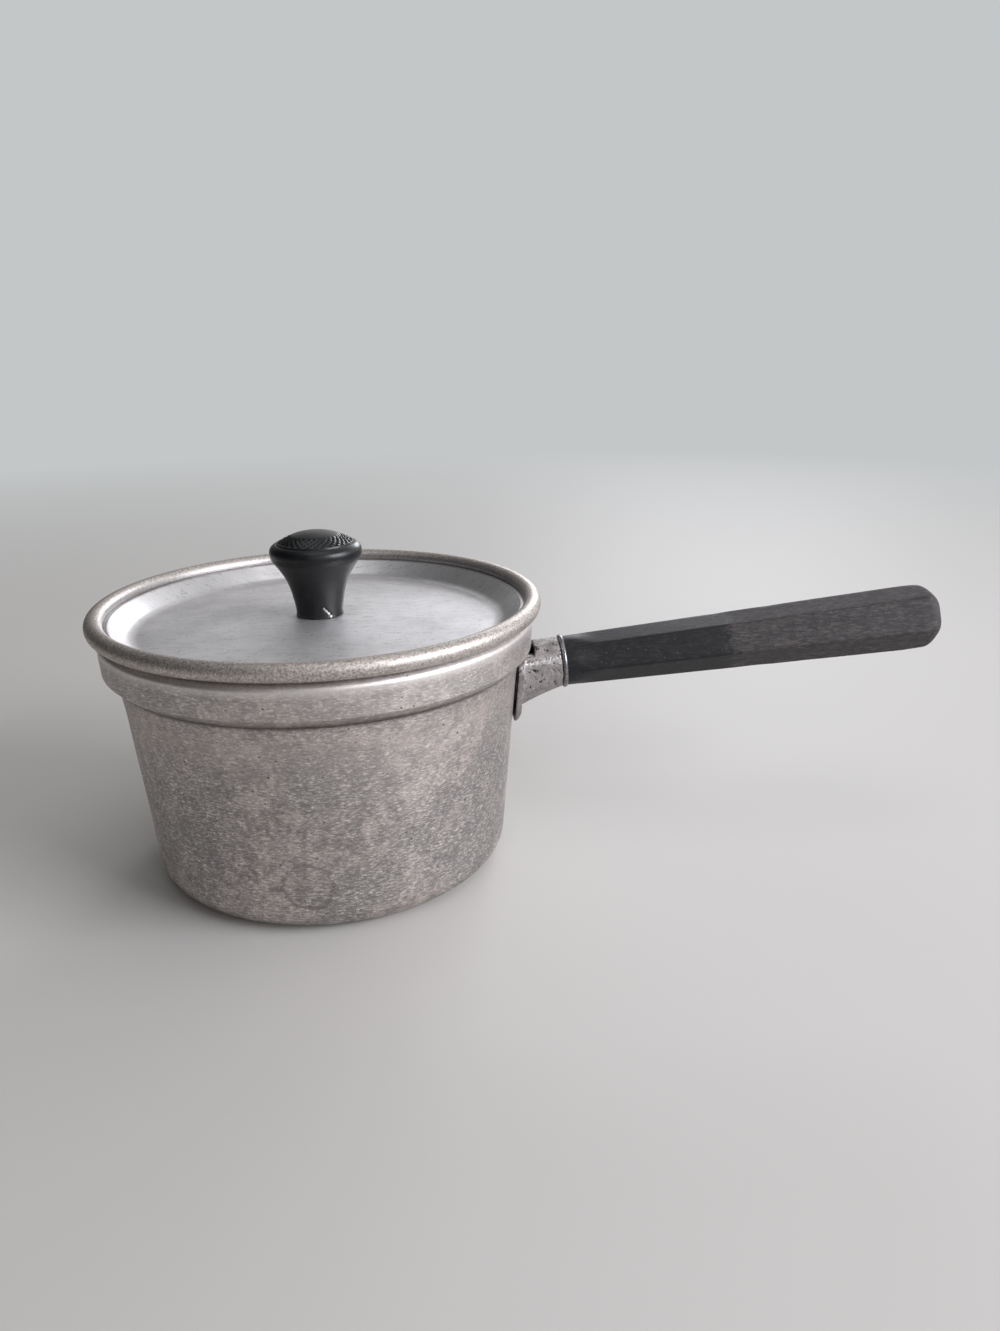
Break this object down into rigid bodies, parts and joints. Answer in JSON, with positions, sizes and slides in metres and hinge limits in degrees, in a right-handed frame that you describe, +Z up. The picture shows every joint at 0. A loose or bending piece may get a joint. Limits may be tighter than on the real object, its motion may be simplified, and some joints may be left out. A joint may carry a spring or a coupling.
{
  "type": "small saucepan with lid",
  "caption": "Small drawn aluminium saucepan with a stepped belt, a recessed lid with a rolled bead and a black knob, and a six-sided black wooden handle in a metal socket.",
  "frame": {"origin": "centre of the pan's flat base, on the surface that it stands on", "axes": "+Z up along the pan's axis, +X towards the handle's far end, +Y to the left of someone who looks along the handle from the pan"},
  "size_m": [0.2988, 0.152, 0.1169],
  "materials": {
    "pan_aluminium": "dull oxidised, pitted and finely scratched",
    "lid_aluminium": "satin, worn, fine scratches",
    "bracket_metal": "pitted, worn bright on the edges",
    "rivet_aluminium": "dull",
    "ring_steel": "bright, smooth",
    "black_wood": "black paint worn to grey-brown wood",
    "rod_steel": "plain steel",
    "knob_phenolic": "black, soft gloss",
    "insert_brass": "plain",
    "screw_steel": "plated steel"
  },
  "bodies": {
    "pan": {"pan_body": "pan_aluminium", "handle_bracket": "bracket_metal", "bracket_rivets": "rivet_aluminium", "ferrule_ring": "ring_steel", "wood_handle": "black_wood", "handle_rod": "rod_steel", "rod_washer": "rod_steel", "rod_nut": "rod_steel"},
    "lid": {"lid_pan": "lid_aluminium"},
    "knob": {"lid_knob": "knob_phenolic", "knob_insert": "insert_brass", "knob_screw": "screw_steel", "knob_washer": "screw_steel"}
  },
  "joints": [
    {"name": "lid_lift", "type": "slide", "parent": "pan", "child": "lid", "axis": [0, 0, 1], "range_m": [0, 0.12]},
    {"name": "knob_turn", "type": "hinge", "parent": "lid", "child": "knob", "pos_m": [0, 0, 0.0878], "axis": [0, 0, 1], "continuous": true}
  ]
}
